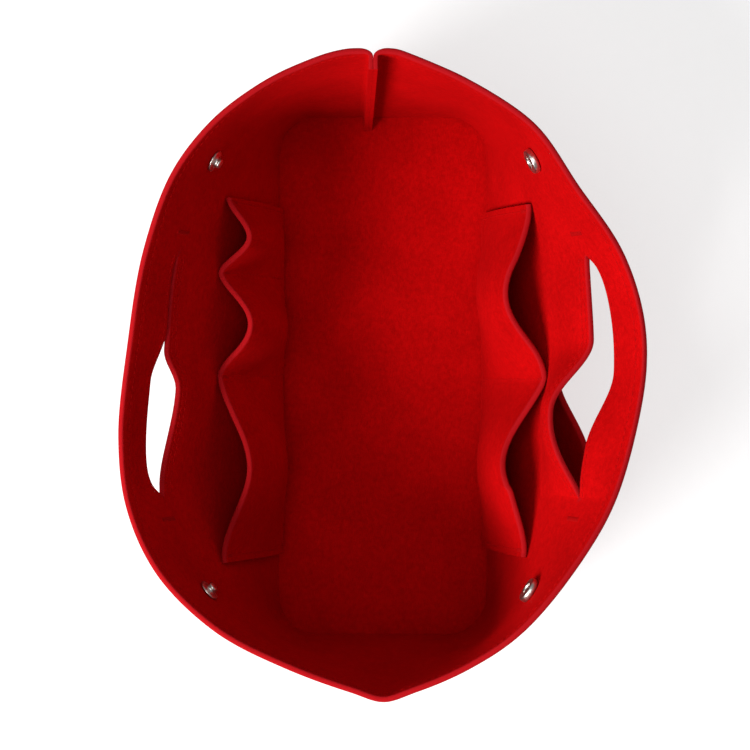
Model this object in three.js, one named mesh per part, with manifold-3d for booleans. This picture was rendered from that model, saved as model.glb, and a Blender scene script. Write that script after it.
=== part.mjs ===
// A felt purse organizer. One band of thick needle felt stands on a felt base. It is sewn into a loop
// at one end and folded round the other, with a hand-hold slit in each long wall, sewn-on pockets
// inside and outside, and two ring snaps that pinch the ends shut.
// Millimetres, +Z up. +X is the seam end, -X the fold end, -Y the front wall and +Y the back wall.
import * as THREE from "three";
import { mergeVertices } from "three/addons/utils/BufferGeometryUtils.js";
import Module from "manifold-3d";

const wasm = await Module();
wasm.setup();

// Sides across Y and ends along X
const FRONT = -1;
const BACK = 1;
const SEAM_END = 1;
const FOLD_END = -1;

// Felt, and the gaps that sewn pieces keep
const FELT = 3;
const CLEARANCE = 0.3;
const BASE_SEAM_GAP = 0.6;

// Base panel
const BASE_LENGTH = 286;
const BASE_WIDTH = 118;
const BASE_CORNER = 24;

// Band of felt that makes the wall, measured on its outer face
const BAND_WIDTH = 160;
const RIM_LENGTH = 307;
const FRONT_REACH = 125.5;
const BACK_REACH = 126.7;
const FLARE_POWER = 1.5;
const WALL_HALF_LENGTH = 118;

// Rim outline seen from above, from the seam end to the fold end and back again.
// Each point is a share of half the rim's length and a share of that side's reach.
const FRONT_RIM = [
  [0.997, 0.05], [0.986, 0.09], [0.909, 0.302], [0.769, 0.569], [0.576, 0.736], [0.38, 0.901],
  [0.195, 0.984], [0.033, 1], [-0.163, 0.96], [-0.404, 0.859], [-0.6, 0.713], [-0.769, 0.539],
  [-0.894, 0.322], [-0.967, 0.121],
];
const FOLD_TIP = [-0.998, 0];
const BACK_RIM = [
  [-0.967, 0.124], [-0.894, 0.361], [-0.769, 0.64], [-0.6, 0.854], [-0.404, 0.971], [-0.195, 1],
  [0.091, 0.962], [0.391, 0.903], [0.625, 0.788], [0.769, 0.649], [0.885, 0.472], [0.976, 0.242],
  [0.998, 0.139],
];

// End seam: the band's two ends turn inside and are sewn face to face
const SEAM_AT_RIM = 5;
const SEAM_AT_BASE = 8;
const LOBE_RADIUS = 4.5;
const SEAM_ALLOWANCE = 6;

// Hand-hold slits. The wall's lip gapes and is pushed in where the hand goes. The handle's lip stands
// out at one end of the slit and less, or inwards, at the other.
const SLIT_HALF_LENGTH = 60;
const SLIT_KERF = 1;
const HANDLE_WIDTH = 28;
const LIP_FOOT = 80;
const GAPE_TAPER_POWER = 3;
const LIP_TAPER_POWER = 8;
const LIPS = {
  front: {
    gape: 6, push: 18, at: -16, seamSpan: 34, foldSpan: 58,
    handle: { seamSide: 4.4, foldSide: -4.6, turnFrom: 2, turnTo: -35 },
  },
  back: {
    gape: -0.9, push: 7.2, at: -7, seamSpan: 20, foldSpan: 56,
    handle: { seamSide: 0.9, foldSide: 7, turnFrom: 24, turnTo: -2 },
  },
};

// Pockets: where each panel is stitched to the wall along X, and how far each pocket gapes
const POCKET_HEIGHT = 93;
const POCKET_FOOT = 4;
const POCKETS = {
  front_inner_pocket: { side: FRONT, inside: true, stitches: [87, -2, -92], gape: [22, 19] },
  back_inner_pocket: { side: BACK, inside: true, stitches: [90, 52, 0, -95], gape: [14, 18, 21] },
  front_outer_pocket: { side: FRONT, inside: false, stitches: [95, 0, -95], gape: [17, 19] },
  back_outer_pocket: { side: BACK, inside: false, stitches: [95, 0, -95], gape: [17, 19] },
};

// Ring snaps, on the wall's inner face. The felt is hollow there, so a flat snap stands off a little.
const SNAP_SEAT_GAP = 0.6;
const SNAP_X = 106;
const SNAP_DROP = 35;
const SNAP_PATCH = 1;
const SNAP_HOLE_DEPTH = 12;
const SNAP_RADIUS = 6.25;
const PRESSED_EDGE = 0.4;
const SOCKET_HEIGHT = 3.2;
const SOCKET_BORE = 2.9;
const SOCKET_SHOULDER = 1.65;
const SPRING_WIRE = 0.8;
const SPRING_GRIP = 3.5;
const SPRING_INSET = 1.9;
const CAP_HEIGHT = 1.9;
const POST_RADIUS = 1.9;
const STUD_RADIUS = 5.5;
const STUD_FLANGE = 0.9;
const STUD_BOSS = 2.65;
const STUD_HEIGHT = 3.9;
const STUD_CROWN = 2.3;
const EYELET_HEIGHT = 1.1;

// Facets
const LATHE_SIDES = 16;
const DOME_STEPS = 4;
const CORNER_STEPS = 8;
const END_STEPS = 10;
const LOBE_STEPS = 5;
const WALL_END_STEPS = 6;
const SLIT_STEPS = 16;
const HANDLE_STEPS = 14;
const POCKET_STEPS = 8;
const ROW_STEPS = { pocket: 6, aboveMouth: 4, aboveSlit: 2, handle: 3 };
const BEND_STEPS = 8;
const WIRE_STEPS = 28;
const WIRE_SIDES = 4;
const RIM_DIVISIONS = 800;
const RIM_HALVINGS = 40;
const FOLD_BETWEEN = [0.3, 0.7];

const BAND_FOOT = FELT + BASE_SEAM_GAP;
const HALF_LENGTH = BASE_LENGTH / 2;
const HALF_WIDTH = BASE_WIDTH / 2;
const HALF_RIM = RIM_LENGTH / 2;
const SLIT = 1 - HANDLE_WIDTH / BAND_WIDTH;
const MOUTH = POCKET_HEIGHT / BAND_WIDTH;

const felt = new THREE.MeshStandardMaterial({ color: 0xb5070d, roughness: 0.95, metalness: 0 });
const metal = new THREE.MeshStandardMaterial({ color: 0xc9c7c2, roughness: 0.25, metalness: 1 });
const { lerp, smoothstep } = THREE.MathUtils;

function steps(from, to, count) {
  return Array.from({ length: count + 1 }, (_, i) => lerp(from, to, i / count));
}

function chain(...runs) {
  return runs.flatMap((run, i) => (i === 0 ? run : run.slice(1)));
}

// Rim outline as one curve, from the front lobe of the end seam round to its back lobe
function seamLobeY(side, seamY) {
  return seamY + side * (LOBE_RADIUS + CLEARANCE / 2);
}

function rimOutline() {
  const onRim = (reach) => ([along, across]) =>
    new THREE.Vector3(along * HALF_RIM, across * reach, 0);
  return new THREE.CatmullRomCurve3(
    [
      new THREE.Vector3(HALF_RIM, seamLobeY(FRONT, SEAM_AT_RIM), 0),
      ...FRONT_RIM.map(onRim(-FRONT_REACH)),
      onRim(BACK_REACH)(FOLD_TIP),
      ...BACK_RIM.map(onRim(BACK_REACH)),
      new THREE.Vector3(HALF_RIM, seamLobeY(BACK, SEAM_AT_RIM), 0),
    ],
    false,
    "centripetal",
  );
}

const rim = rimOutline();
rim.arcLengthDivisions = RIM_DIVISIONS;

// Where a measure of the rim, which runs one way between two places on it, passes a value
function placeOnRim(low, high, measure, value) {
  const rising = measure(rim.getPointAt(high)) > measure(rim.getPointAt(low));
  for (let i = 0; i < RIM_HALVINGS; i++) {
    const middle = (low + high) / 2;
    if (measure(rim.getPointAt(middle)) < value === rising) low = middle;
    else high = middle;
  }
  return (low + high) / 2;
}

const foldPlace = placeOnRim(...FOLD_BETWEEN, (p) => p.y, 0);

function rimPlaceAt(side, x) {
  return side === FRONT
    ? placeOnRim(0, foldPlace, (p) => p.x, x)
    : placeOnRim(foldPlace, 1, (p) => p.x, x);
}

// A column is one upright line of the band: its foot on the base outline and its top on the rim
function column(side, base, top) {
  return { side, base: new THREE.Vector2(base.x, base.y), rim: new THREE.Vector2(top.x, top.y) };
}

function wallColumn(side, x) {
  return column(side, { x, y: side * HALF_WIDTH }, rim.getPointAt(rimPlaceAt(side, x)));
}

// Half of an end panel, from its middle to where the long wall begins
function endColumns(end, side, middleY, middlePlace) {
  const edgeX = end * (WALL_HALF_LENGTH + CLEARANCE / 2);
  const outline = new THREE.Path();
  const startAngle = end === SEAM_END ? 0 : Math.PI;
  outline.moveTo(end * HALF_LENGTH, middleY);
  outline.lineTo(end * HALF_LENGTH, side * (HALF_WIDTH - BASE_CORNER));
  outline.absarc(
    end * (HALF_LENGTH - BASE_CORNER), side * (HALF_WIDTH - BASE_CORNER), BASE_CORNER,
    startAngle, side * Math.PI / 2, end * side < 0,
  );
  outline.lineTo(edgeX, side * HALF_WIDTH);
  const edgePlace = rimPlaceAt(side, edgeX);
  return outline.getSpacedPoints(END_STEPS).map((foot, i) => {
    const place = lerp(middlePlace, edgePlace, i / END_STEPS);
    return column(side, foot, rim.getPointAt(place));
  });
}

// The turned-in end of the band: the seam allowance, then the lobe that turns out to the end panel
function lobeColumns(side) {
  const inner = (lobeX, seamY) => (inset, angle) => ({
    x: lobeX - LOBE_RADIUS - inset + LOBE_RADIUS * Math.cos(angle),
    y: seamLobeY(side, seamY) - side * LOBE_RADIUS * Math.sin(angle),
  });
  const atBase = inner(HALF_LENGTH, SEAM_AT_BASE);
  const atRim = inner(HALF_RIM, SEAM_AT_RIM);
  const turn = steps(Math.PI / 2, 0, LOBE_STEPS);
  return [
    column(side, atBase(SEAM_ALLOWANCE, Math.PI / 2), atRim(SEAM_ALLOWANCE, Math.PI / 2)),
    ...turn.map((angle) => column(side, atBase(0, angle), atRim(0, angle))),
  ];
}

function seamEndColumns(side) {
  const middlePlace = side === FRONT ? 0 : 1;
  const panel = endColumns(SEAM_END, side, seamLobeY(side, SEAM_AT_BASE), middlePlace);
  return chain(lobeColumns(side), panel);
}

function foldEndColumns() {
  const front = endColumns(FOLD_END, FRONT, 0, foldPlace).reverse();
  return chain(front, endColumns(FOLD_END, BACK, 0, foldPlace));
}

const wallEdge = WALL_HALF_LENGTH - CLEARANCE / 2;
const wallStations = chain(
  steps(wallEdge, SLIT_HALF_LENGTH, WALL_END_STEPS),
  steps(SLIT_HALF_LENGTH, -SLIT_HALF_LENGTH, SLIT_STEPS),
  steps(-SLIT_HALF_LENGTH, -wallEdge, WALL_END_STEPS),
);

// How far the slit's lips stand away from the plain wall, along Y. Both run out at the slit's ends.
function slitTaper(x, power) {
  return 1 - Math.min(1, Math.abs(x) / SLIT_HALF_LENGTH) ** power;
}

function wallLipPush(side, x) {
  const { gape, push, at, seamSpan, foldSpan } = side === FRONT ? LIPS.front : LIPS.back;
  const share = Math.min(1, Math.abs(x - at) / (x > at ? seamSpan : foldSpan));
  const pushed = push * Math.cos(share * Math.PI / 2) ** 2;
  return gape * slitTaper(x, GAPE_TAPER_POWER) + pushed * slitTaper(x, LIP_TAPER_POWER);
}

function handleLipPush(side, x) {
  const { handle } = side === FRONT ? LIPS.front : LIPS.back;
  const turn = smoothstep(x, handle.turnTo, handle.turnFrom);
  return slitTaper(x, LIP_TAPER_POWER) * lerp(handle.foldSide, handle.seamSide, turn);
}

function wallPush(line, v) {
  return -wallLipPush(line.side, line.base.x) * smoothstep(v, LIP_FOOT / BAND_WIDTH, SLIT);
}

function handlePush(line, v) {
  return handleLipPush(line.side, line.base.x) * (1 - smoothstep(v, SLIT, 1));
}

// A point on the band's outer face: v is the share of the band's width above the base seam.
// The band keeps its width, so its rim sinks where it leans out more.
function bandPoint(line, v, push) {
  const along = Math.min(1, Math.abs(line.base.x) / WALL_HALF_LENGTH);
  const power = 1 + (FLARE_POWER - 1) * (1 - along ** 2);
  const lean = line.rim.distanceTo(line.base);
  const height = Math.sqrt(BAND_WIDTH ** 2 - (lean * power) ** 2 / (2 * power - 1));
  const plan = line.base.clone().lerp(line.rim, v ** power);
  return new THREE.Vector3(plan.x, plan.y + line.side * push(line, v), BAND_FOOT + height * v);
}

function bandGrid(lines, rows, push) {
  return lines.map((line) => rows.map((v) => bandPoint(line, v, push)));
}

// Unit normals of a grid whose columns run clockwise seen from above, pointing out of the organizer
function outwardNormals(grid) {
  const lastColumn = grid.length - 1;
  const lastRow = grid[0].length - 1;
  return grid.map((points, i) =>
    points.map((_, j) => {
      const before = grid[Math.max(0, i - 1)][j];
      const after = grid[Math.min(lastColumn, i + 1)][j];
      const below = points[Math.max(0, j - 1)];
      const above = points[Math.min(lastRow, j + 1)];
      return above.clone().sub(below).cross(after.clone().sub(before)).normalize();
    }),
  );
}

// Moves each point of a grid along its normal by a distance, or by a function of its column and row.
// On a square-cut column the point stays in its plane across X, and the felt keeps its thickness.
function offset(grid, distance, squareCut = () => false) {
  const normals = outwardNormals(grid);
  const amount = typeof distance === "function" ? distance : () => distance;
  return grid.map((points, i) =>
    points.map((p, j) => {
      const direction = normals[i][j];
      if (squareCut(i)) direction.setX(0).divideScalar(direction.lengthSq());
      return p.clone().addScaledVector(direction, amount(i, j));
    }),
  );
}

// Closed solid between two grids, over the cells that are kept
function sheetSolid(outer, inner, keep = () => true) {
  const rowCount = outer[0].length;
  const innerStart = outer.length * rowCount;
  const kept = (i, j) =>
    i >= 0 && j >= 0 && i < outer.length - 1 && j < rowCount - 1 && keep(i, j);
  const index = [];
  const quad = (a, b, c, d) => index.push(a, b, c, a, c, d);
  for (let i = 0; i < outer.length - 1; i++) {
    for (let j = 0; j < rowCount - 1; j++) {
      if (!kept(i, j)) continue;
      const a = i * rowCount + j;
      const corners = [a, a + 1, a + 1 + rowCount, a + rowCount];
      const [p, q, r, s] = corners.map((corner) => corner + innerStart);
      quad(...corners);
      quad(s, r, q, p);
      const neighbours = [kept(i - 1, j), kept(i, j + 1), kept(i + 1, j), kept(i, j - 1)];
      neighbours.forEach((covered, edge) => {
        const from = corners[edge];
        const to = corners[(edge + 1) % corners.length];
        if (!covered) quad(to, from, from + innerStart, to + innerStart);
      });
    }
  }
  const geometry = new THREE.BufferGeometry();
  const positions = [...outer, ...inner].flat().flatMap((p) => p.toArray());
  geometry.setAttribute("position", new THREE.Float32BufferAttribute(positions, 3));
  geometry.setIndex(index);
  return mergeVertices(geometry.toNonIndexed());
}

// Boolean cut of one closed geometry by others
function solidOf(geometry) {
  const plain = geometry.clone();
  plain.deleteAttribute("normal");
  plain.deleteAttribute("uv");
  const merged = mergeVertices(plain);
  return new wasm.Manifold(new wasm.Mesh({
    numProp: 3,
    vertProperties: new Float32Array(merged.attributes.position.array),
    triVerts: new Uint32Array(merged.index.array),
  }));
}

function cut(geometry, cutters) {
  let solid = solidOf(geometry);
  for (const cutter of cutters) solid = solid.subtract(solidOf(cutter));
  const { vertProperties, triVerts } = solid.getMesh();
  const result = new THREE.BufferGeometry();
  result.setAttribute("position", new THREE.BufferAttribute(vertProperties, 3));
  result.setIndex(new THREE.BufferAttribute(triVerts, 1));
  return result;
}

const organizer = new THREE.Group();

function addMesh(parent, name, geometry, material) {
  geometry.computeVertexNormals();
  const mesh = new THREE.Mesh(geometry, material);
  mesh.name = name;
  parent.add(mesh);
}

function addBase() {
  const flat = HALF_WIDTH - BASE_CORNER;
  const outline = new THREE.Shape();
  outline.moveTo(HALF_LENGTH, -flat);
  outline.lineTo(HALF_LENGTH, flat);
  outline.absarc(HALF_LENGTH - BASE_CORNER, flat, BASE_CORNER, 0, Math.PI / 2);
  outline.absarc(BASE_CORNER - HALF_LENGTH, flat, BASE_CORNER, Math.PI / 2, Math.PI);
  outline.absarc(BASE_CORNER - HALF_LENGTH, -flat, BASE_CORNER, Math.PI, Math.PI * 1.5);
  outline.absarc(HALF_LENGTH - BASE_CORNER, -flat, BASE_CORNER, Math.PI * 1.5, Math.PI * 2);
  const panel = new THREE.ExtrudeGeometry(outline, {
    depth: FELT, bevelEnabled: false, curveSegments: CORNER_STEPS,
  });
  addMesh(organizer, "base_panel", panel, felt);
}

// A place on the felt's middle layer where a snap sits, with local +Z pointing into the organizer
function snapFrame(side, x) {
  const v = 1 - SNAP_DROP / BAND_WIDTH;
  const up = SNAP_PATCH / BAND_WIDTH;
  const along = side * SNAP_PATCH;
  const nearby = [x - along, x, x + along].map((place) => wallColumn(side, place));
  const patch = bandGrid(nearby, [v - up, v, v + up], wallPush);
  const outward = outwardNormals(patch)[1][1];
  const frame = new THREE.Group();
  frame.position.copy(patch[1][1]).addScaledVector(outward, -FELT / 2);
  frame.quaternion.setFromUnitVectors(new THREE.Vector3(0, 0, 1), outward.clone().negate());
  frame.updateMatrixWorld();
  return frame;
}

function snapHole(frame) {
  const radius = POST_RADIUS + CLEARANCE;
  const hole = new THREE.CylinderGeometry(radius, radius, SNAP_HOLE_DEPTH, LATHE_SIDES);
  return hole.rotateX(Math.PI / 2).applyMatrix4(frame.matrixWorld);
}

const rows = chain(
  steps(0, MOUTH, ROW_STEPS.pocket),
  steps(MOUTH, SLIT, ROW_STEPS.aboveMouth),
  steps(SLIT, 1, ROW_STEPS.aboveSlit),
);
const slitRow = rows.indexOf(SLIT);
const frontWallColumns = wallStations.map((x) => wallColumn(FRONT, x));
const backWallColumns = wallStations.map((x) => wallColumn(BACK, x)).reverse();
const panels = [
  { name: "seam_end_front", lines: seamEndColumns(FRONT) },
  { name: "front_wall", lines: frontWallColumns, side: FRONT },
  { name: "fold_end", lines: foldEndColumns() },
  { name: "back_wall", lines: backWallColumns, side: BACK },
  { name: "seam_end_back", lines: seamEndColumns(BACK).reverse() },
];
const snapFrames = [SEAM_END, FOLD_END].map((end) => ({
  end,
  front: snapFrame(FRONT, end * SNAP_X),
  back: snapFrame(BACK, end * SNAP_X),
}));

// Panels are cut square across X where the long walls end, and beside the slits' ends
function isSquareCut(line) {
  const x = Math.abs(line.base.x);
  return x === SLIT_HALF_LENGTH || Math.abs(x - WALL_HALF_LENGTH) < CLEARANCE;
}

// The whole band is laid out first, so that neighbouring panels share one smooth surface
function addBand() {
  const allLines = panels.flatMap((panel) => panel.lines);
  const outer = bandGrid(allLines, rows, wallPush);
  const inner = offset(outer, -FELT, (i) => isSquareCut(allLines[i]));
  let start = 0;
  for (const { name, lines, side } of panels) {
    const end = start + lines.length;
    const offSlit = (i) => Math.abs(lines[i].base.x) >= SLIT_HALF_LENGTH;
    const keep = (i, j) => !side || j < slitRow || (offSlit(i) && offSlit(i + 1));
    const sheet = sheetSolid(outer.slice(start, end), inner.slice(start, end), keep);
    const frames = snapFrames.map((pair) => (side === FRONT ? pair.front : pair.back));
    addMesh(organizer, name, side ? cut(sheet, frames.map(snapHole)) : sheet, felt);
    start = end;
  }
}

function addHandle(name, side) {
  const reach = SLIT_HALF_LENGTH - CLEARANCE;
  const lines = steps(-side * reach, side * reach, HANDLE_STEPS).map((x) => wallColumn(side, x));
  const handleRows = steps(SLIT + SLIT_KERF / BAND_WIDTH, 1, ROW_STEPS.handle);
  const outer = bandGrid(lines, handleRows, handlePush);
  const inner = offset(outer, -FELT, (i) => i === 0 || i === lines.length - 1);
  addMesh(organizer, name, sheetSolid(outer, inner), felt);
}

// A pocket panel lies on the wall at its stitches and its foot, and gapes between them at its mouth
function addPocket(name, { side, inside, stitches, gape }) {
  const runs = gape.map((_, k) => steps(stitches[k], stitches[k + 1], POCKET_STEPS));
  const places = chain(...runs);
  if (side === BACK) places.reverse();
  const foot = POCKET_FOOT / BAND_WIDTH;
  const pocketRows = steps(foot, MOUTH, ROW_STEPS.pocket);
  const pocketOf = (x) => stitches.findIndex((_, k) => x <= stitches[k] && x >= stitches[k + 1]);
  const bulge = (x, v) => {
    const k = pocketOf(x);
    const across = (stitches[k] - x) / (stitches[k] - stitches[k + 1]);
    const up = (v - foot) / (MOUTH - foot);
    return gape[k] * Math.sin(across * Math.PI) ** 2 * Math.sin(up * Math.PI / 2);
  };
  const wall = bandGrid(places.map((x) => wallColumn(side, x)), pocketRows, wallPush);
  const away = (i, j) => CLEARANCE + bulge(places[i], pocketRows[j]);
  if (inside) {
    const outer = offset(wall, (i, j) => -FELT - away(i, j));
    addMesh(organizer, name, sheetSolid(outer, offset(outer, -FELT)), felt);
  } else {
    const inner = offset(wall, away);
    addMesh(organizer, name, sheetSolid(offset(inner, FELT), inner), felt);
  }
}

// Turned piece of a snap: a profile of [radius, height] points, turned about local Z
function turned(profile) {
  const points = profile.map(([radius, height]) => new THREE.Vector2(radius, height));
  return new THREE.LatheGeometry(points, LATHE_SIDES).rotateX(Math.PI / 2);
}

const SEAT = FELT / 2 + SNAP_SEAT_GAP;
const SOCKET_TOP = SEAT + SOCKET_HEIGHT;
const SPRING_LEVEL = SEAT + SOCKET_HEIGHT / 2;
const SPRING_ROOM = SPRING_WIRE / 2 + CLEARANCE;
const SPRING_REACH = SNAP_RADIUS - SPRING_INSET;

function socketProfile() {
  const groove = SPRING_REACH + CLEARANCE + PRESSED_EDGE;
  return [
    [SOCKET_BORE, SEAT], [SNAP_RADIUS - PRESSED_EDGE, SEAT], [SNAP_RADIUS, SEAT + PRESSED_EDGE],
    [SNAP_RADIUS, SPRING_LEVEL], [SNAP_RADIUS - SOCKET_SHOULDER / 3, SOCKET_TOP - PRESSED_EDGE],
    [SNAP_RADIUS - SOCKET_SHOULDER, SOCKET_TOP], [SOCKET_BORE + PRESSED_EDGE, SOCKET_TOP],
    [SOCKET_BORE, SOCKET_TOP - PRESSED_EDGE], [SOCKET_BORE, SPRING_LEVEL + SPRING_ROOM],
    [groove, SPRING_LEVEL + SPRING_ROOM], [groove, SPRING_LEVEL - SPRING_ROOM],
    [SOCKET_BORE, SPRING_LEVEL - SPRING_ROOM], [SOCKET_BORE, SEAT],
  ];
}

// Hairpin spring that grips the stud: two straight bars across the bore, joined by a bend
function springWire() {
  const bar = SPRING_GRIP / 2;
  const tail = -Math.sqrt((SPRING_REACH - SPRING_WIRE / 2) ** 2 - bar ** 2);
  const bendX = SPRING_REACH - SPRING_WIRE / 2 - bar;
  const route = new THREE.CurvePath();
  const at = (x, y) => new THREE.Vector3(x, y, SPRING_LEVEL);
  route.add(new THREE.LineCurve3(at(tail, bar), at(bendX, bar)));
  route.add(new THREE.CatmullRomCurve3(
    steps(Math.PI / 2, -Math.PI / 2, BEND_STEPS).map((angle) =>
      at(bendX + bar * Math.cos(angle), bar * Math.sin(angle))),
  ));
  route.add(new THREE.LineCurve3(at(bendX, -bar), at(tail, -bar)));
  const section = new THREE.Shape();
  section.absarc(0, 0, SPRING_WIRE / 2, 0, Math.PI * 2);
  return new THREE.ExtrudeGeometry(section, {
    extrudePath: route, steps: WIRE_STEPS, curveSegments: WIRE_SIDES,
  });
}

// Domed head on the wall's outer face
function dome(radius, height) {
  return steps(0, Math.PI / 2, DOME_STEPS).map((angle) =>
    [radius * Math.sin(angle), -SEAT - height * Math.cos(angle)]);
}

function capProfile() {
  const rivet = POST_RADIUS + PRESSED_EDGE;
  const top = SPRING_LEVEL - SPRING_ROOM - CLEARANCE;
  return [
    ...dome(SNAP_RADIUS, CAP_HEIGHT), [POST_RADIUS, -SEAT], [POST_RADIUS, SEAT],
    [rivet, SEAT + CLEARANCE], [rivet, top], [0, top],
  ];
}

function studProfile() {
  const neck = STUD_BOSS - PRESSED_EDGE / 2;
  const flangeTop = SEAT + STUD_FLANGE;
  const top = SEAT + STUD_HEIGHT;
  return [
    [0, top - STUD_CROWN], [POST_RADIUS, top - STUD_CROWN], [POST_RADIUS, SEAT],
    [STUD_RADIUS - PRESSED_EDGE, SEAT], [STUD_RADIUS, SEAT + PRESSED_EDGE],
    [STUD_RADIUS - PRESSED_EDGE, flangeTop], [neck + 2 * PRESSED_EDGE, flangeTop + PRESSED_EDGE],
    [neck, flangeTop + 2 * PRESSED_EDGE], [neck, top - 4 * PRESSED_EDGE],
    [STUD_BOSS, top - 3 * PRESSED_EDGE], [STUD_BOSS - PRESSED_EDGE, top - PRESSED_EDGE],
    [STUD_BOSS - 3 * PRESSED_EDGE, top], [0, top],
  ];
}

function eyeletProfile() {
  const post = POST_RADIUS - CLEARANCE;
  const top = SEAT + STUD_HEIGHT - STUD_CROWN - CLEARANCE;
  return [...dome(STUD_RADIUS - PRESSED_EDGE, EYELET_HEIGHT), [post, -SEAT], [post, top], [0, top]];
}

function addSnap({ end, front, back }) {
  const place = end === SEAM_END ? "seam_end" : "fold_end";
  addMesh(front, `${place}_snap_socket`, turned(socketProfile()), metal);
  addMesh(front, `${place}_snap_spring`, springWire(), metal);
  addMesh(front, `${place}_snap_cap`, turned(capProfile()), metal);
  addMesh(back, `${place}_snap_stud`, turned(studProfile()), metal);
  addMesh(back, `${place}_snap_eyelet`, turned(eyeletProfile()), metal);
  organizer.add(front, back);
}

addBase();
addBand();
addHandle("front_handle", FRONT);
addHandle("back_handle", BACK);
for (const [name, pocket] of Object.entries(POCKETS)) addPocket(name, pocket);
snapFrames.forEach(addSnap);

export default organizer;
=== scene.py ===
import math

import bpy
import numpy as np
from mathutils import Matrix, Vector


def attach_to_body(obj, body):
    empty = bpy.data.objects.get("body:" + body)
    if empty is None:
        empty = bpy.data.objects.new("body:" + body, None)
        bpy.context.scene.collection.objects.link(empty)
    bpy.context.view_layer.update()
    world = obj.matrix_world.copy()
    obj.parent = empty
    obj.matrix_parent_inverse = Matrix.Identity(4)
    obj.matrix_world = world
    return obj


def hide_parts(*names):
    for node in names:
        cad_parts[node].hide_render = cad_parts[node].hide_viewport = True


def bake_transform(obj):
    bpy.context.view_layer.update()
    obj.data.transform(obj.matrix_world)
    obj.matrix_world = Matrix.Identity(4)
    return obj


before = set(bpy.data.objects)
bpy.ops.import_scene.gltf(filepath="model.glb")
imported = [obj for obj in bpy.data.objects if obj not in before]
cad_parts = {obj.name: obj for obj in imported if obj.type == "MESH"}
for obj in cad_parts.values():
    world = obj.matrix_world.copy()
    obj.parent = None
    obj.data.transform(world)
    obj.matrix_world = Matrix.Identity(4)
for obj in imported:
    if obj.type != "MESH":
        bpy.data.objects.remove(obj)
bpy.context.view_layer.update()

# Sizes in millimetres, the same as the solids have
MM = 0.001
FELT = 3.0
BASE_SEAM_GAP = 0.6
BASE_LENGTH = 286.0
BASE_WIDTH = 118.0
BASE_CORNER = 24.0
BAND_WIDTH = 160.0
RIM_LENGTH = 307.0
FRONT_REACH = 125.5
BACK_REACH = 126.7
FLARE_POWER = 1.5
WALL_HALF_LENGTH = 118.0

# Sides as the sign of Y, ends as the sign of X, and the bodies of each side
FRONT = -1
BACK = 1
SEAM_END = 1
FOLD_END = -1
WALL_BODY = {FRONT: "front_side", BACK: "back_side"}
GRIP_BODY = {FRONT: "front_grip", BACK: "back_grip"}

# Rim outline from the seam end to the fold end and back, in shares of half its length and of its reach
FRONT_RIM = [
    (0.997, 0.05), (0.986, 0.09), (0.909, 0.302), (0.769, 0.569), (0.576, 0.736), (0.38, 0.901),
    (0.195, 0.984), (0.033, 1), (-0.163, 0.96), (-0.404, 0.859), (-0.6, 0.713), (-0.769, 0.539),
    (-0.894, 0.322), (-0.967, 0.121),
]
FOLD_TIP = -0.998
BACK_RIM = [
    (-0.967, 0.124), (-0.894, 0.361), (-0.769, 0.64), (-0.6, 0.854), (-0.404, 0.971), (-0.195, 1),
    (0.091, 0.962), (0.391, 0.903), (0.625, 0.788), (0.769, 0.649), (0.885, 0.472), (0.976, 0.242),
    (0.998, 0.139),
]
FOLD_SEARCH = 0.2

# End seam, where the band's two ends turn inside. It squeezes the felt, and the rim there is less rounded.
SEAM_AT_RIM = 5.0
SEAM_AT_BASE = 8.0
LOBE_WIDTH = 7.0
LOBE_DEPTH = 4.2
SEAM_ALLOWANCE = 6.0
SEAM_GAP = 0.05
SEAM_SQUEEZE = 0.45
SEAM_EDGE_LOSS = 0.8

# Hand-hold slits
SLIT_HALF_LENGTH = 60.0
SLIT_KERF = 1.0
HANDLE_WIDTH = 28.0
LIP_FOOT = 80.0
GAPE_TAPER_POWER = 3
LIP_TAPER_POWER = 8
LIP_EDGE_RUN = 5.0
LIP_SEAM_RUN = 4.0
LIP_SEAM_BEYOND = 1.0
LIPS = {
    FRONT: {
        "gape": 6.0, "push": 18.0, "at": -16.0, "seam_span": 34.0, "fold_span": 58.0,
        "handle_seam_side": 4.4, "handle_fold_side": -4.6, "turn_from": 2.0, "turn_to": -35.0,
    },
    BACK: {
        "gape": -0.9, "push": 7.2, "at": -7.0, "seam_span": 20.0, "fold_span": 56.0,
        "handle_seam_side": 0.9, "handle_fold_side": 7.0, "turn_from": 24.0, "turn_to": -2.0,
    },
}

# Pockets: where each panel is sewn down along X, and how far it gapes between
POCKET_HEIGHT = 93.0
POCKET_FOOT = 4.0
POCKET_GAP = 0.15
POCKET_ROUNDNESS = 1.5
POCKETS = {
    "front_inner_pocket": {
        "side": FRONT, "inside": True, "stitches": [87, -2, -92], "gape": [22, 19],
    },
    "back_inner_pocket": {
        "side": BACK, "inside": True, "stitches": [90, 52, 0, -95], "gape": [14, 18, 21],
    },
    "front_outer_pocket": {
        "side": FRONT, "inside": False, "stitches": [95, 0, -95], "gape": [17, 19],
    },
    "back_outer_pocket": {
        "side": BACK, "inside": False, "stitches": [95, 0, -95], "gape": [17, 19],
    },
}

# Ring snaps
SNAP_X = 106.0
SNAP_DROP = 35.0
SNAP_SEAT = 0.2
SPRING_WIRE = 0.8
SPRING_GRIP = 3.5
SPRING_REACH = 4.35
SPRING_LEVEL = 2.2
METAL_SHARP_DEGREES = 50

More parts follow.
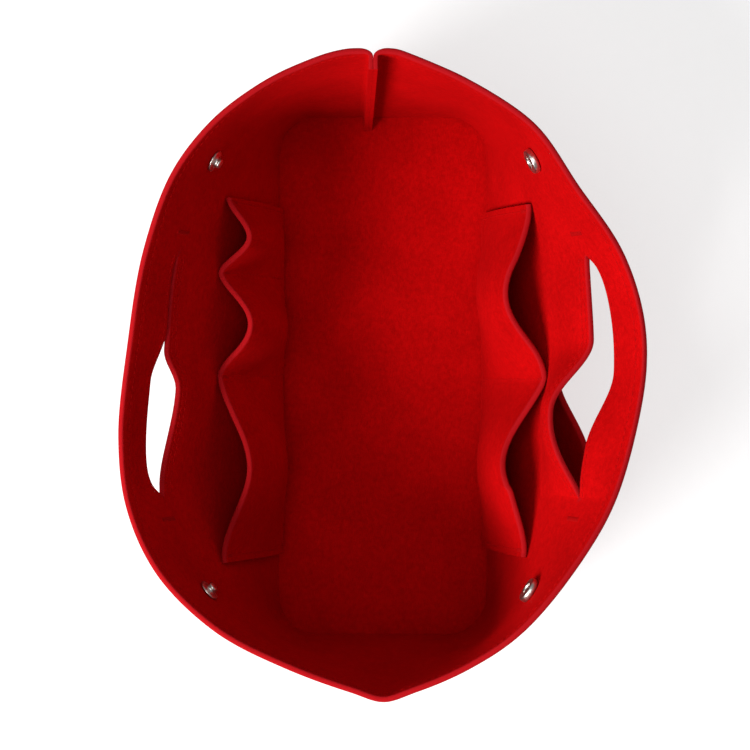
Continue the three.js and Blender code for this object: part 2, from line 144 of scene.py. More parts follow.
# Felt surface: rounded cut edges, long shallow waves, and the dents that thread and snaps pull in
EDGE_ROUND = 1.3
EDGE_ROWS_END = 2.0
EDGE_STEPS = 8
EDGE_SQUARENESS = 0.8
WAVES = [
    (96.0, 0.34, (0.81, 0.2, 0.55), 0.4),
    (57.0, 0.2, (-0.5, 0.4, 0.77), 1.9),
    (33.0, 0.09, (0.3, -0.8, 0.52), 3.1),
]
SEAM_CALM = 28.0
STITCH_DENT = 0.2
STITCH_DENT_WIDTH = 0.9
POCKET_DENT_SHARE = 0.5
SNAP_DENT = 0.6
SNAP_DENT_WIDTH = 7.0

# Sewing thread. A stitch's lift and sink are in thread radii. Tacks and seams are placed by rows and columns
# of the felt's grid.
THREAD_RADIUS = 0.26
STITCH_PITCH = 3.6
STITCH_LENGTH = 3.1
STITCH_RINGS = 7
STITCH_SIDES = 6
STITCH_LIFT = 1.5
STITCH_SINK = 1.05
STITCH_FULLNESS = 0.6
RIM_STITCH = 5.5
LIP_STITCHES = [3.0, 6.0]
HANDLE_STITCH = 3.0
POCKET_STITCH = 3.0
WHIP_PITCH = 4.2
WHIP_LOW = 0.9
WHIP_HIGH = 7.4
WHIP_AHEAD = 1.0
TACK_LENGTH = 6.0
SLIT_TACK_LENGTH = 11.0
TACK_PITCH = 0.75
TACK_HALF_WIDTH = 1.3
TACK_COLUMNS = 4
SEAM_STITCH_COLUMNS = 2
SEAM_TACK_ROW = -5
POCKET_TACK_ROW = -3

# Where the felt bends when walls lean and handles swing; attach doesn't apply these bends
END_BEND_FROM = 144.5
END_BEND_RUN = 40.0
END_BEND_SLANT = 0.15
END_BEND_RISE = 0.05
HANDLE_BEND_TO = 18.0

# How finely the forms are divided
RIM_STEPS = 60
CORNER_POINTS = 24
LOBE_POINTS = 13
ALLOWANCE_POINTS = 5
END_STEPS = 40
WALL_END_POINTS = 24
SLIT_POINTS = 61
COARSE_ROW = 3.0
MIDDLE_ROW = 1.5
FINE_ROW = 0.75
FINE_BELOW_LIP = 12.0
FINE_BELOW_RIM = 8.5
POCKET_POINTS = 29
POCKET_ROWS = 34
BASE_CORNER_POINTS = 17
BASE_EDGE_POINTS = 5
TURNED_SIDES = 48
WIRE_SIDES = 10
SPRING_BAR_POINTS = 8
SPRING_BEND_POINTS = 17
SAME_PLACE = 0.01
JOIN_DIGITS = 2

HALF_LENGTH = BASE_LENGTH / 2
HALF_WIDTH = BASE_WIDTH / 2
HALF_RIM = RIM_LENGTH / 2
BAND_FOOT = FELT + BASE_SEAM_GAP
SLIT = BAND_WIDTH - HANDLE_WIDTH


# Small helpers
def unit(vectors):
    return vectors / np.maximum(np.linalg.norm(vectors, axis=-1, keepdims=True), 1e-12)


def smoothstep(value, low, high):
    t = np.clip((value - low) / (high - low), 0, 1)
    return t * t * (3 - 2 * t)


def nearest(values, wanted):
    return int(np.argmin(np.abs(values - wanted)))


def joined(runs):
    """Runs end to end, with the point that two runs share taken once."""
    return np.concatenate([runs[0], *[run[1:] for run in runs[1:]]])


def run_lengths(path):
    steps = np.linalg.norm(np.diff(path, axis=0), axis=1)
    return np.concatenate([[0], np.cumsum(steps)])


def sampled(values, run, places):
    axes = [np.interp(places, run, values[:, axis]) for axis in range(values.shape[1])]
    return np.stack(axes, axis=-1)


def resampled(path, steps):
    run = run_lengths(path)
    return sampled(path, run, np.linspace(0, run[-1], steps + 1))


def smooth_curve(points, steps):
    """Centripetal curve through plan points, as a dense line."""
    points = np.array(points, float)
    ends = [2 * points[0] - points[1]], [2 * points[-1] - points[-2]]
    through = np.vstack([ends[0], points, ends[1]])
    t = np.linspace(0, 1, steps, endpoint=False)[:, None]
    runs = []
    for p0, p1, p2, p3 in zip(through, through[1:], through[2:], through[3:]):
        d0, d1, d2 = (math.sqrt(np.linalg.norm(b - a)) for a, b in ((p0, p1), (p1, p2), (p2, p3)))
        m1 = d1 * ((p1 - p0) / d0 - (p2 - p0) / (d0 + d1) + (p2 - p1) / d1)
        m2 = d1 * ((p2 - p1) / d1 - (p3 - p1) / (d1 + d2) + (p3 - p2) / d2)
        square = 3 * (p2 - p1) - 2 * m1 - m2
        cube = 2 * (p1 - p2) + m1 + m2
        runs.append(p1 + m1 * t + square * t**2 + cube * t**3)
    return np.vstack([*runs, points[-1:]])


# The rim seen from above, and where on it a place is
def seam_lobe_y(side, seam_y):
    return seam_y + side * (LOBE_WIDTH + SEAM_GAP / 2)


def rim_outline():
    front = [(along * HALF_RIM, -across * FRONT_REACH) for along, across in FRONT_RIM]
    back = [(along * HALF_RIM, across * BACK_REACH) for along, across in BACK_RIM]
    first = (HALF_RIM, seam_lobe_y(FRONT, SEAM_AT_RIM))
    last = (HALF_RIM, seam_lobe_y(BACK, SEAM_AT_RIM))
    return smooth_curve([first, *front, (FOLD_TIP * HALF_RIM, 0), *back, last], RIM_STEPS)


# The fold is where the rim crosses the middle line, about half way round
rim = rim_outline()
rim_run = run_lengths(rim)
about_fold = np.abs(rim_run / rim_run[-1] - 0.5) < FOLD_SEARCH
fold_run = np.interp(0, rim[about_fold, 1], rim_run[about_fold])


def rim_place(side, x):
    if side == FRONT:
        part = rim_run <= fold_run
        return np.interp(-x, -rim[part, 0], rim_run[part])
    part = rim_run >= fold_run
    return np.interp(x, rim[part, 0], rim_run[part])


# A column is one upright line of the band: base x and y, rim x and y, and its side
BASE_XY = slice(0, 2)
RIM_XY = slice(2, 4)
SIDE = 4


def columns(base, top, side):
    return np.column_stack([base, top, np.full(len(base), side)])


def wall_columns(side, x):
    base = np.column_stack([x, np.full(len(x), side * HALF_WIDTH)])
    return columns(base, sampled(rim, rim_run, rim_place(side, x)), side)


def end_columns(end, side, middle_y, middle_run):
    """Half of an end panel, from its middle to where the long wall begins."""
    turn = np.linspace(0, math.pi / 2, CORNER_POINTS)
    corner_x = HALF_LENGTH - BASE_CORNER + BASE_CORNER * np.cos(turn)
    corner_y = HALF_WIDTH - BASE_CORNER + BASE_CORNER * np.sin(turn)
    x = np.concatenate([[HALF_LENGTH], corner_x, [WALL_HALF_LENGTH]])
    y = np.concatenate([[side * middle_y], corner_y, [HALF_WIDTH]])
    base = resampled(np.column_stack([end * x, side * y]), END_STEPS)
    places = np.linspace(middle_run, rim_place(side, end * WALL_HALF_LENGTH), END_STEPS + 1)
    return columns(base, sampled(rim, rim_run, places), side)


def lobe_columns(side):
    """The turned-in end of the band: the seam allowance, then the lobe that turns out to the panel."""
    turn = np.linspace(math.pi / 2, 0, LOBE_POINTS)
    straight = np.linspace(SEAM_ALLOWANCE, 0, ALLOWANCE_POINTS)[:-1]
    inset = np.concatenate([straight, np.zeros(len(turn))])
    angle = np.concatenate([np.full(len(straight), math.pi / 2), turn])

    def place(lobe_x, seam_y):
        x = lobe_x - LOBE_DEPTH - inset + LOBE_DEPTH * np.cos(angle)
        y = seam_lobe_y(side, seam_y) - side * LOBE_WIDTH * np.sin(angle)
        return np.column_stack([x, y])

    return columns(place(HALF_LENGTH, SEAM_AT_BASE), place(HALF_RIM, SEAM_AT_RIM), side)


def seam_panel(side):
    middle_run = 0 if side == FRONT else rim_run[-1]
    return end_columns(SEAM_END, side, seam_lobe_y(side, SEAM_AT_BASE), middle_run)


def fold_panel(side):
    return end_columns(FOLD_END, side, 0, fold_run)


outside_slit = np.linspace(WALL_HALF_LENGTH, SLIT_HALF_LENGTH, WALL_END_POINTS)
along_slit = np.linspace(SLIT_HALF_LENGTH, -SLIT_HALF_LENGTH, SLIT_POINTS)
wall_x = joined([outside_slit, along_slit, -outside_slit[::-1]])
band_parts = [
    ("seam_lobe_front", lobe_columns(FRONT)),
    ("seam_end_front", seam_panel(FRONT)),
    ("front_wall", wall_columns(FRONT, wall_x)),
    ("fold_end_front", fold_panel(FRONT)[::-1]),
    ("fold_end_back", fold_panel(BACK)),
    ("back_wall", wall_columns(BACK, wall_x[::-1])),
    ("seam_end_back", seam_panel(BACK)[::-1]),
    ("seam_lobe_back", lobe_columns(BACK)[::-1]),
]

# Rows of the band, in millimetres up the felt from the base seam: closer where it is sewn, and none
# between a cut edge and the place where its rounding begins
below_lip = np.arange(SLIT - FINE_BELOW_LIP, SLIT - EDGE_ROWS_END, FINE_ROW)
above_lip = np.arange(SLIT + HANDLE_STITCH, BAND_WIDTH - FINE_BELOW_RIM, MIDDLE_ROW)
below_rim = np.arange(BAND_WIDTH - FINE_BELOW_RIM, BAND_WIDTH - EDGE_ROWS_END, FINE_ROW)
rows_low = np.concatenate([np.arange(0, SLIT - FINE_BELOW_LIP, COARSE_ROW), below_lip, [SLIT]])
rows_high = np.concatenate([[SLIT], above_lip, below_rim, [BAND_WIDTH]])
rows = joined([rows_low, rows_high])
slit_row = len(rows_low) - 1


# How far the slit's lips stand away from the plain wall
def slit_taper(x, power):
    return 1 - np.minimum(1, np.abs(x) / SLIT_HALF_LENGTH) ** power


def wall_lip(side, x):
    lip = LIPS[side]
    span = np.where(x > lip["at"], lip["seam_span"], lip["fold_span"])
    share = np.minimum(1, np.abs(x - lip["at"]) / span)
    pushed = lip["push"] * np.cos(share * math.pi / 2) ** 2
    return lip["gape"] * slit_taper(x, GAPE_TAPER_POWER) + pushed * slit_taper(x, LIP_TAPER_POWER)


def handle_lip(side, x):
    lip = LIPS[side]
    turn = smoothstep(x, lip["turn_to"], lip["turn_from"])
    reach = lip["handle_fold_side"] * (1 - turn) + lip["handle_seam_side"] * turn
    return slit_taper(x, LIP_TAPER_POWER) * reach


def both_sides(cols, of_side):
    x = cols[:, 0]
    return np.where(cols[:, SIDE] == FRONT, of_side(FRONT, x), of_side(BACK, x))[:, None]


def wall_push(cols, height):
    return -both_sides(cols, wall_lip) * smoothstep(height, LIP_FOOT, SLIT)


def handle_push(cols, height):
    return both_sides(cols, handle_lip) * (1 - smoothstep(height, SLIT, BAND_WIDTH))


def waviness(points):
    """Shallow unevenness of the felt, which the end seam holds flat."""
    total = np.zeros(points.shape[:-1])
    for length, size, direction, phase in WAVES:
        total += size * np.sin(points @ np.array(direction) * 2 * math.pi / length + phase)
    from_seam = np.hypot(points[..., 0] - HALF_RIM, points[..., 1] - SEAM_AT_RIM)
    return total * smoothstep(from_seam, SEAM_CALM, 2 * SEAM_CALM)


def directions(grid):
    """Outward normals and upward directions of a grid of columns that run clockwise from above."""
    up = unit(np.gradient(grid, axis=1))
    return unit(np.cross(up, np.gradient(grid, axis=0))), up


def band_face(cols, height, push):
    """Points on the band's outer face, one for each column and height, and their directions."""
    base = cols[:, None, BASE_XY]
    lean = cols[:, None, RIM_XY] - base
    v = height / BAND_WIDTH
    along = np.minimum(1, np.abs(base[..., 0]) / WALL_HALF_LENGTH)
    power = 1 + (FLARE_POWER - 1) * (1 - along**2)
    reach = np.linalg.norm(lean, axis=2)
    rise = np.sqrt(BAND_WIDTH**2 - (reach * power) ** 2 / (2 * power - 1))
    plan = base + lean * (v**power)[..., None]
    y = plan[..., 1] + cols[:, SIDE, None] * push(cols, height)
    z = BAND_FOOT + rise * v
    grid = np.stack([plan[..., 0], y, z], axis=2)
    out, _ = directions(grid)
    grid = grid + out * waviness(grid)[..., None]
    out, up = directions(grid)
    return grid, out, up


# Felt as closed loops round a thick sheet, one loop for each column
def dent(distance):
    return STITCH_DENT * np.exp(-((distance / STITCH_DENT_WIDTH) ** 2))


def loops_round(middle, out, up, half, low_round, high_round):
    angle = math.pi * np.arange(1, EDGE_STEPS) / EDGE_STEPS
    across = np.sign(np.cos(angle)) * np.abs(np.cos(angle)) ** EDGE_SQUARENESS
    rise = np.sin(angle) ** EDGE_SQUARENESS
    middle = middle.copy()
    middle[:, 0] += up[:, 0] * low_round[:, None]
    middle[:, -1] -= up[:, -1] * high_round[:, None]

    def edge(row, radius):
        spread = np.where(radius[:, None] == 0, np.sign(across), across)
        sideways = (out[:, row] * half[:, row, None])[:, None] * spread[..., None]
        upward = (up[:, row] * radius[:, None])[:, None] * rise[None, :, None]
        return middle[:, row, None] + sideways + upward

    outer = middle + out * half[..., None]
    inner = middle - out * half[..., None]
    top = edge(-1, high_round)
    bottom = edge(0, -low_round)[:, ::-1]
    return np.concatenate([outer, top, inner[:, ::-1], bottom], axis=1)


def loop_faces(count, size, start=0):
    ids = start + np.arange(count * size).reshape(count, size)
    ahead = np.roll(ids, -1, axis=1)
    return np.stack([ids[:-1], ahead[:-1], ahead[1:], ids[1:]], axis=-1).reshape(-1, 4)


def cap_faces(ring, row):
    """Faces that close the end of a felt sheet from a row up. The ring starts at its outer foot."""
    side = len(ring) // 2 - EDGE_STEPS + 1
    strips = [ring[row:2 * side + EDGE_STEPS - 1 - row]]
    if row == 0:
        strips.append(np.append(ring[2 * side + EDGE_STEPS - 2:], ring[0]))
    faces = []
    for strip in strips:
        half = len(strip) // 2
        faces += [(strip[k], strip[k + 1], strip[-k - 2], strip[-k - 1]) for k in range(half - 1)]
        faces.append(tuple(strip[half - 1:half + 2]))
    return faces


class Felt:
    """Felt of one object: closed loops, joined where they meet, with caps at cut ends."""

    def __init__(self):
        self.points = []
        self.sides = []
        self.caps = []
        self.marks = []
        self.total = 0

    def add(self, loops, cap_first=None, cap_last=None):
        """Loops of one sheet. A cap is given by the row that it starts from."""
        count, size, _ = loops.shape
        start = self.total
        self.points.append(loops.reshape(-1, 3))
        self.sides.append(loop_faces(count, size, start))
        rows_up = size // 2 - EDGE_STEPS + 1
        # Points round the cut edges are marked, for a pinker tone that is partly the felt's own and partly
        # painted sheen
        at_edge = np.arange(size) % (size // 2) >= rows_up
        self.marks.append(np.tile(at_edge, count))
        self.total += count * size
        if cap_first is not None:
            self.caps += [face[::-1] for face in cap_faces(np.arange(start, start + size), cap_first)]
        if cap_last is not None:
            self.caps += cap_faces(np.arange(self.total - size, self.total), cap_last)


def face_normals(points, faces):
    return np.cross(points[faces[:, 2]] - points[faces[:, 0]], points[faces[:, 3]] - points[faces[:, 1]])


def shared_normals(felts):
    """Smooth normals of several felt objects, so that no line shows where one meets the next."""
    points = np.vstack([np.vstack(felt.points) for felt in felts])
    starts = np.cumsum([0] + [felt.total for felt in felts])
    faces = np.vstack([np.vstack(felt.sides) + start for felt, start in zip(felts, starts)])
    _, place = np.unique(np.round(points, JOIN_DIGITS), axis=0, return_inverse=True)
    place = place.reshape(-1)
    total = np.zeros((place.max() + 1, 3))
    weights = face_normals(points, faces)
    for corner in range(4):
        np.add.at(total, place[faces[:, corner]], weights)
    normals = unit(total)[place]
    return [normals[a:b] for a, b in zip(starts, starts[1:])]


def add_object(name, points, faces, material, slot, marks=None):
    """A mesh object. Marked points are felt's cut edges, with a partly painted sheen, or bar tacks, with
    painted shade.
    """
    mesh = bpy.data.meshes.new(name)
    mesh.from_pydata((np.asarray(points) * MM).tolist(), [], faces)
    mesh.polygons.foreach_set("use_smooth", np.ones(len(mesh.polygons), bool))
    if marks is not None:
        mesh.attributes.new("mark", "FLOAT", "POINT").data.foreach_set("value", marks.astype(np.float32))
    mesh.materials.append(material)
    made = bpy.data.objects.new(name, mesh)
    bpy.context.collection.objects.link(made)
    return made


def add_felt(name, felt, normals):
    points = np.vstack(felt.points)
    rounded = np.round(points, JOIN_DIGITS)
    _, first, place = np.unique(rounded, axis=0, return_index=True, return_inverse=True)
    place = place.reshape(-1)
    sides = place[np.vstack(felt.sides)].tolist()
    caps = [place[list(face)].tolist() for face in felt.caps]
    faces = [(tuple(dict.fromkeys(face)), False) for face in sides]
    faces += [(tuple(dict.fromkeys(face)), True) for face in caps]
    solid = [(face, is_cap) for face, is_cap in faces if len(face) > 2]
    points = points[first]
    marks = np.concatenate(felt.marks)[first]
    made = add_object(name, points, [face for face, _ in solid], FELT_MATERIAL, "felt", marks)
    corner_normals = []
    for face, is_cap in solid:
        if is_cap:
            a, b, c = (points[face[k]] for k in range(3))
            corner_normals += [tuple(unit(np.cross(b - a, c - a)))] * len(face)
        else:
            corner_normals += [tuple(normals[first[k]]) for k in face]
    made.data.normals_split_custom_set(corner_normals)
    return made


# Sewing thread
def tube_faces(count, rings, sides, start=0):
    """Faces of tubes that are closed at both ends."""
    ids = start + np.arange(count * rings * sides).reshape(count, rings, sides)
    ahead = np.roll(ids, -1, axis=2)
    faces = np.stack([ids[:, :-1], ahead[:, :-1], ahead[:, 1:], ids[:, 1:]], axis=-1)
    ends = np.concatenate([ids[:, 0, ::-1], ids[:, -1]])
    return faces.reshape(-1, 4).tolist() + ends.tolist()


class Thread:
    """Separate stitches that belong to one object."""

    def __init__(self):
        self.points = []
        self.faces = []
        self.marks = []
        self.total = 0

    def add(self, centre, normal, mark=0.0):
        """Stitches of shape (count, rings, 3): each comes up, lies on the felt and goes down again."""
        count, rings, _ = centre.shape
        t = np.linspace(0, 1, rings)
        lift = THREAD_RADIUS * (STITCH_LIFT * np.sin(math.pi * t) ** STITCH_FULLNESS - STITCH_SINK)
        beside = unit(np.cross(normal, np.gradient(centre, axis=1)))
        centre = centre + normal * lift[None, :, None]
        angle = 2 * math.pi * np.arange(STITCH_SIDES) / STITCH_SIDES
        ring = normal[:, :, None] * np.sin(angle)[:, None] + beside[:, :, None] * np.cos(angle)[:, None]
        points = centre[:, :, None] + THREAD_RADIUS * ring
        self.points.append(points.reshape(-1, 3))
        self.faces += tube_faces(count, rings, STITCH_SIDES, self.total)
        self.marks.append(np.full(count * rings * STITCH_SIDES, mark))
        self.total += count * rings * STITCH_SIDES

    def row(self, path, normal):
        """A row of stitches along a path on the felt."""
        run = run_lengths(path)
        count = max(1, int(run[-1] // STITCH_PITCH))
        middle = (np.arange(count) + 0.5) * run[-1] / count
        places = middle[:, None] + STITCH_LENGTH * np.linspace(-0.5, 0.5, STITCH_RINGS)[None]
        self.add(sampled(path, run, places), unit(sampled(normal, run, places)))

    def tack(self, place, along, normal, length=TACK_LENGTH):
        """A bar tack: a short block of threads laid side by side across a line."""
        beside = unit(np.cross(normal, along))
        steps = np.linspace(-0.5, 0.5, int(length / TACK_PITCH) + 1) * length
        across = np.linspace(-1, 1, STITCH_RINGS) * TACK_HALF_WIDTH
        centre = place + steps[:, None, None] * along + across[None, :, None] * beside
        # The tack's thread is marked for painted shade, darker where its dense threads shade one another
        self.add(centre, np.broadcast_to(normal, centre.shape), 1.0)


def add_thread(name, thread):
    marks = np.concatenate(thread.marks)
    return add_object(name, np.vstack(thread.points), thread.faces, THREAD_MATERIAL, "felt", marks)


# Materials. Shades are colours at places along the noise that mixes them, and sizes of surface
# features are in millimetres.
FELT_SHADES = [
    (0.36, (0.26, 0.0008, 0.0011)), (0.5, (0.36, 0.0011, 0.0015)), (0.64, (0.48, 0.0017, 0.0023)),
]
# Cut edges turn pinker: partly the cut fibres' own tone, partly painted sheen
CUT_EDGE_TONE_AND_SHEEN = (0.31, 0.0064, 0.0094)
CUT_EDGE_TONE_AND_SHEEN_SHARE = 0.8
THREAD_SHADES = [(0.35, (0.28, 0.0009, 0.0012)), (0.65, (0.44, 0.0014, 0.0019))]
# Bar tacks are painted darker than the same red thread: painted shade between the dense threads
TACK_PAINTED_SHADE = (0.1, 0.0004, 0.0006)
TACK_PAINTED_SHADE_SHARE = 0.2
RED_SHEEN = (1.0, 0.006, 0.009, 1)
NICKEL_SHADES = [(0.3, (0.52, 0.49, 0.45)), (0.7, (0.76, 0.73, 0.69))]
NICKEL_ROUGHNESS = (0.2, 0.42)
FLOOR_SHADES = [(0.3, (0.4, 0.4, 0.4)), (0.7, (0.42, 0.42, 0.42))]
FLOOR_GLOW = 0.65
WHITE = (1, 1, 1, 1)
FIBRE_SIZE = 0.35
FIBRE_STRETCH = (0.16, 1, 1)
FIBRE_TURNS = [(0.3, 0.2, 0.1), (1.3, 0.5, 0.9), (0.6, 1.7, 2.1), (2.2, 0.9, 1.5)]
CLUMP_SIZE = 2.4
PATCH_SIZE = 26.0
TWIST_SIZE = 0.25
TWIST_TURN = (0.4, 0.8, 0.3)
WEAR_SIZE = 1.1
BRUSH_SIZE = 0.2
BRUSH_STRETCH = (0.2, 1, 1)
BRUSH_TURN = (0.3, 0.1, 0.7)
SPECKLE_SIZE = 6.0
NOISE_ROUGHNESS = 0.6


def new_node(tree, kind, settings, links):
    made = tree.nodes.new(kind)
    for name, value in settings.items():
        if hasattr(made, name):
            setattr(made, name, value)
        else:
            made.inputs[name].default_value = value
    for name, source in links.items():
        tree.links.new(source, made.inputs[name])
    return made


def new_material(name):
    """A material, its nodes, its shader, and the object's own coordinates."""
    material = bpy.data.materials.new(name)
    material.use_nodes = True
    tree = material.node_tree
    place = new_node(tree, "ShaderNodeTexCoord", {}, {}).outputs["Object"]
    return material, tree, tree.nodes["Principled BSDF"], place


def set_inputs(shader, values):
    for name, value in values.items():
        shader.inputs[name].default_value = value


def grain(tree, place, size, detail, stretch=(1, 1, 1), turn=(0, 0, 0), distortion=0.0):
    """Noise whose features are about as large as size."""
    mapping = new_node(tree, "ShaderNodeMapping", {"Scale": stretch, "Rotation": turn}, {"Vector": place})
    settings = {
        "Scale": 1 / (size * MM), "Detail": detail, "Roughness": NOISE_ROUGHNESS, "Distortion": distortion,
    }
    return new_node(tree, "ShaderNodeTexNoise", settings, {"Vector": mapping.outputs[0]}).outputs["Fac"]


def math_node(tree, operation, a, b):
    made = new_node(tree, "ShaderNodeMath", {"operation": operation}, {})
    for index, value in enumerate((a, b)):
        if isinstance(value, (int, float)):
            made.inputs[index].default_value = value
        else:
            tree.links.new(value, made.inputs[index])
    return made.outputs[0]


def weighted(tree, parts):
    """The sum of several values, each times its share."""
    total = None
    for value, share in parts:
        part = math_node(tree, "MULTIPLY", value, share)
        total = part if total is None else math_node(tree, "ADD", total, part)
    return total


def ramp(tree, value, stops):
    made = new_node(tree, "ShaderNodeValToRGB", {}, {"Fac": value})
    elements = made.color_ramp.elements
    while len(elements) < len(stops):
        elements.new(0.5)
    for element, (position, colour) in zip(elements, stops):
        element.position = position
        element.color = (*colour, 1)
    return made.outputs["Color"]


def marked(tree, colour, mark_colour, share):
    """A colour that turns towards another one on the marked points of a mesh: painted sheen on cut edges,
    painted shade on tacks.
    """
    mark = new_node(tree, "ShaderNodeAttribute", {"attribute_name": "mark"}, {}).outputs["Fac"]
    links = {"Fac": math_node(tree, "MULTIPLY", mark, share), "Color1": colour}
    return new_node(tree, "ShaderNodeMixRGB", {"Color2": (*mark_colour, 1)}, links).outputs["Color"]


def add_bump(tree, shader, height, strength, depth):
    settings = {"Strength": strength, "Distance": depth * MM}
    bump = new_node(tree, "ShaderNodeBump", settings, {"Height": height})
    tree.links.new(bump.outputs[0], shader.inputs["Normal"])


def fibres(tree, place):
    """Needled fibres lying every way: thin streaks in several directions, the brightest on top."""
    top = None
    for turn in FIBRE_TURNS:
        streak = grain(tree, place, FIBRE_SIZE, 3, FIBRE_STRETCH, turn, 0.7)
        top = streak if top is None else math_node(tree, "MAXIMUM", top, streak)
    return top


def felt_material():
    material, tree, shader, place = new_material("red_needle_felt")
    fibre = fibres(tree, place)
    clumps = grain(tree, place, CLUMP_SIZE, 5)
    patches = grain(tree, place, PATCH_SIZE, 3)
    mixed = weighted(tree, [(fibre, 0.5), (clumps, 0.32), (patches, 0.18)])
    # Cut edges turn pinker, partly painted sheen
    colour = marked(tree, ramp(tree, mixed, FELT_SHADES), CUT_EDGE_TONE_AND_SHEEN, CUT_EDGE_TONE_AND_SHEEN_SHARE)
    tree.links.new(colour, shader.inputs["Base Color"])
    add_bump(tree, shader, weighted(tree, [(fibre, 0.6), (clumps, 0.8)]), 0.45, 0.4)
    set_inputs(shader, {
        "Roughness": 0.95, "Specular IOR Level": 0.02,
        "Sheen Weight": 0.12, "Sheen Roughness": 0.45, "Sheen Tint": RED_SHEEN,
    })
    return material


def thread_material():
    material, tree, shader, place = new_material("red_thread")
    twist = grain(tree, place, TWIST_SIZE, 2, turn=TWIST_TURN, distortion=0.4)
    # Bar tacks turn darker: painted shade
    colour = marked(tree, ramp(tree, twist, THREAD_SHADES), TACK_PAINTED_SHADE, TACK_PAINTED_SHADE_SHARE)
    tree.links.new(colour, shader.inputs["Base Color"])
    add_bump(tree, shader, twist, 0.35, 0.1)
    set_inputs(shader, {
        "Roughness": 0.8, "Specular IOR Level": 0.05, "Sheen Weight": 0.1, "Sheen Tint": RED_SHEEN,
    })
    return material


def metal_material():
    material, tree, shader, place = new_material("nickel_plate")
    worn = grain(tree, place, WEAR_SIZE, 5)
    tree.links.new(ramp(tree, worn, NICKEL_SHADES), shader.inputs["Base Color"])
    smooth, rough = NICKEL_ROUGHNESS
    between = new_node(tree, "ShaderNodeMapRange", {"To Min": smooth, "To Max": rough}, {"Value": worn})
    tree.links.new(between.outputs[0], shader.inputs["Roughness"])
    add_bump(tree, shader, grain(tree, place, BRUSH_SIZE, 3, BRUSH_STRETCH, BRUSH_TURN), 0.08, 0.05)
    set_inputs(shader, {"Metallic": 1.0})
    return material


FELT_MATERIAL = felt_material()
THREAD_MATERIAL = thread_material()
METAL_MATERIAL = metal_material()


# What each piece moves with. End panels list a bend from the base to the long wall beside them, not applied.
def end_bend(end, side):
    start = Vector((end * END_BEND_FROM, 0, 0)) * MM
    toward = Vector((-end, side * END_BEND_SLANT, END_BEND_RISE)).normalized() * END_BEND_RUN * MM
    return ("base", WALL_BODY[side], start, start + toward)


def handle_bend(end, side):
    start = (end * SLIT_HALF_LENGTH * MM, 0, 0)
    return (WALL_BODY[side], GRIP_BODY[side], start, (end * HANDLE_BEND_TO * MM, 0, 0))


MOTIONS = {
    "seam_lobe_front": ("base",),
    "seam_lobe_back": ("base",),
    "seam_end_front": end_bend(SEAM_END, FRONT),
    "seam_end_back": end_bend(SEAM_END, BACK),
    "fold_end_front": end_bend(FOLD_END, FRONT),
    "fold_end_back": end_bend(FOLD_END, BACK),
    "front_wall": ("front_side",),
    "back_wall": ("back_side",),
}
SOLID_OF = {
    "seam_lobe_front": "seam_end_front",
    "seam_lobe_back": "seam_end_back",
    "fold_end_front": "fold_end",
    "fold_end_back": "fold_end",
}


def attach(piece, motion):
    if len(motion) == 1:
        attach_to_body(piece, motion[0])
    else:
        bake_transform(piece)


# The band: one grid of columns, cut into the pieces that move differently
all_columns = joined([part for _, part in band_parts])
band_x = all_columns[:, 0]
on_wall = np.abs(all_columns[:, 1]) == HALF_WIDTH
in_slit = on_wall & (np.abs(band_x) < SLIT_HALF_LENGTH + SAME_PLACE)
slit_ends = {}
for side in (FRONT, BACK):
    on_side = np.flatnonzero(in_slit & (all_columns[:, SIDE] == side))
    slit_ends[side] = (int(on_side[0]), int(on_side[-1]))

# The stretches beside the slits get their directions from themselves alone, not from the slits' lips
band, band_out, band_up = band_face(all_columns, rows[None], wall_push)
beside_slits = [
    slice(0, slit_ends[FRONT][0] + 1),
    slice(slit_ends[FRONT][1], slit_ends[BACK][0] + 1),
    slice(slit_ends[BACK][1], None),
]
for run in beside_slits:
    band[run], band_out[run], band_up[run] = band_face(all_columns[run], rows[None], wall_push)


def lip_share(x, run, beyond=0.0):
    """1 along a slit, falling to 0 over a run up to the slit's ends, or to a little beyond them."""
    return np.clip((SLIT_HALF_LENGTH + beyond - np.abs(x)) / run, 0, 1)


def lip_rounding(x):
    return EDGE_ROUND * lip_share(x, LIP_EDGE_RUN)


near_slit = lip_share(band_x, LIP_SEAM_RUN, LIP_SEAM_BEYOND) * on_wall
near_seam = np.clip(1 - np.abs(all_columns[:, 1] - SEAM_AT_BASE) / LOBE_WIDTH, 0, 1) * (band_x > 0)
felt_half = FELT / 2 - SEAM_SQUEEZE * smoothstep(near_seam, 0, 1)
rim_round = EDGE_ROUND * (1 - SEAM_EDGE_LOSS * near_seam)
band_half = felt_half[:, None] - dent(rows - (BAND_WIDTH - RIM_STITCH))[None]
for below in LIP_STITCHES:
    band_half -= near_slit[:, None] * dent(rows - (SLIT - below))[None]
band_middle = band - band_out * felt_half[:, None, None]


def snap_spot(side, x):
    """A snap's place on the felt's middle layer, and the felt's outward direction there."""
    place_x = np.array([x - side, x, x + side])
    height = BAND_WIDTH - SNAP_DROP + np.array([-1.0, 0.0, 1.0])
    face, out, _ = band_face(wall_columns(side, place_x), height[None], wall_push)
    return face[1, 1] - out[1, 1] * FELT / 2, out[1, 1]


SNAP_SPOTS = {
    (end, side): snap_spot(side, end * SNAP_X) for end in (SEAM_END, FOLD_END) for side in (FRONT, BACK)
}
for centre, _ in SNAP_SPOTS.values():
    from_snap = np.linalg.norm(band_middle - centre, axis=2)
    band_half -= SNAP_DENT * np.exp(-((from_snap / SNAP_DENT_WIDTH) ** 2))


def band_loops(first, last, upper=None):
    across = slice(first, last + 1)
    part = (across, slice(0, upper))
    low = np.full(last + 1 - first, EDGE_ROUND)
    high = rim_round[across] if upper is None else lip_rounding(band_x[across])
    return loops_round(band_middle[part], band_out[part], band_up[part], band_half[part], low, high)


def face_path(first, last, row, face):
    """A row of the band, on its outer face (1) or its inner face (-1), just at the felt's surface."""
    part = slice(first, last + 1)
    out = band_out[part, row]
    return band_middle[part, row] + face * out * band_half[part, row, None], face * out


